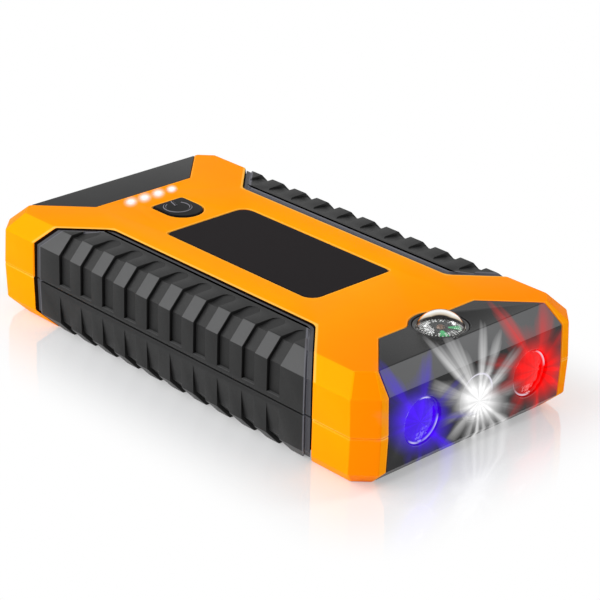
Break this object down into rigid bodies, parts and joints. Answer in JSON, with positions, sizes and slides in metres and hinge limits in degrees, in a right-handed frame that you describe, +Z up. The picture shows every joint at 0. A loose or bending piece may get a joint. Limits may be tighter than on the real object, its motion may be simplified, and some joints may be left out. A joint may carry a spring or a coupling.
{
  "type": "jump starter pack",
  "caption": "Flat power pack with ribbed rubber grips on both long sides, end lamps, a domed compass, a power key and a covered jump lead socket.",
  "frame": {"origin": "centre of the flat underside the pack rests on", "axes": "+X along the length towards the lamp end, +Y across the width, +Z up towards the face with the power key"},
  "size_m": [0.1732, 0.092, 0.0392],
  "materials": {
    "case_orange": "satin moulded ABS",
    "grip_rubber": "soft matte",
    "panel_black": "fine matte",
    "plate_grey": "matte printed sheet",
    "key_black": "soft matte",
    "clear_plastic": "clear polished polycarbonate",
    "reflector_chrome": "vacuum metallised",
    "emitter_yellow": "phosphor",
    "board_green": "solder mask",
    "card_black": "printed card",
    "magnet_steel": "plated",
    "contact_brass": "turned",
    "component_black": "moulded",
    "screw_steel": "zinc plated",
    "socket_blue": "moulded",
    "cell_pouch": "satin laminate",
    "foam_grey": "closed cell foam",
    "tab_nickel": "bright",
    "bus_copper": "bare copper"
  },
  "bodies": {
    "case": {"upper_shell": "case_orange", "lower_shell": "case_orange", "near_grip_upper": "grip_rubber", "near_grip_lower": "grip_rubber", "far_grip_upper": "grip_rubber", "far_grip_lower": "grip_rubber", "lamp_panel": "panel_black", "port_panel": "panel_black", "name_plate": "plate_grey", "light_pipe": "clear_plastic", "near_lens": "clear_plastic", "middle_lens": "clear_plastic", "far_lens": "clear_plastic", "compass_dome": "clear_plastic", "near_reflector": "reflector_chrome", "middle_reflector": "reflector_chrome", "far_reflector": "reflector_chrome", "near_emitter": "emitter_yellow", "middle_emitter": "emitter_yellow", "far_emitter": "emitter_yellow", "indicator_leds": "emitter_yellow", "lamp_board": "board_green", "key_board": "board_green", "main_board": "board_green", "compass_ring": "panel_black", "compass_cup": "panel_black", "compass_pin": "contact_brass", "switch_body": "component_black", "key_board_screws": "screw_steel", "board_screws": "screw_steel", "case_screws": "screw_steel", "usb_shells": "screw_steel", "usb_tongues": "component_black", "charge_jack": "component_black", "charge_pin": "contact_brass", "jump_socket": "socket_blue", "jump_contacts": "contact_brass", "lower_cell": "cell_pouch", "middle_cell": "cell_pouch", "upper_cell": "cell_pouch", "lower_foam": "foam_grey", "upper_foam": "foam_grey", "cell_tabs": "tab_nickel", "negative_bus_bar": "bus_copper", "positive_bus_bar": "bus_copper", "inductor": "component_black", "capacitors": "tab_nickel", "power_transistors": "component_black", "control_chip": "component_black"},
    "key": {"power_key": "key_black", "switch_plunger": "component_black"},
    "compass": {"compass_card": "card_black", "compass_magnets": "magnet_steel"},
    "cover": {"socket_cover": "panel_black"}
  },
  "joints": [
    {"name": "key_press", "type": "slide", "parent": "case", "child": "key", "axis": [0, 0, -1], "range_m": [0, 0.0005], "stiffness_N_per_m": 2000},
    {"name": "compass_turn", "type": "hinge", "parent": "case", "child": "compass", "pos_m": [0.0705, 0, 0.0331], "axis": [0, 0, 1], "continuous": true},
    {"name": "cover_hinge", "type": "hinge", "parent": "case", "child": "cover", "pos_m": [-0.08505, -0.0205, 0.02485], "axis": [0, 1, 0], "range_deg": [0, 90]}
  ]
}
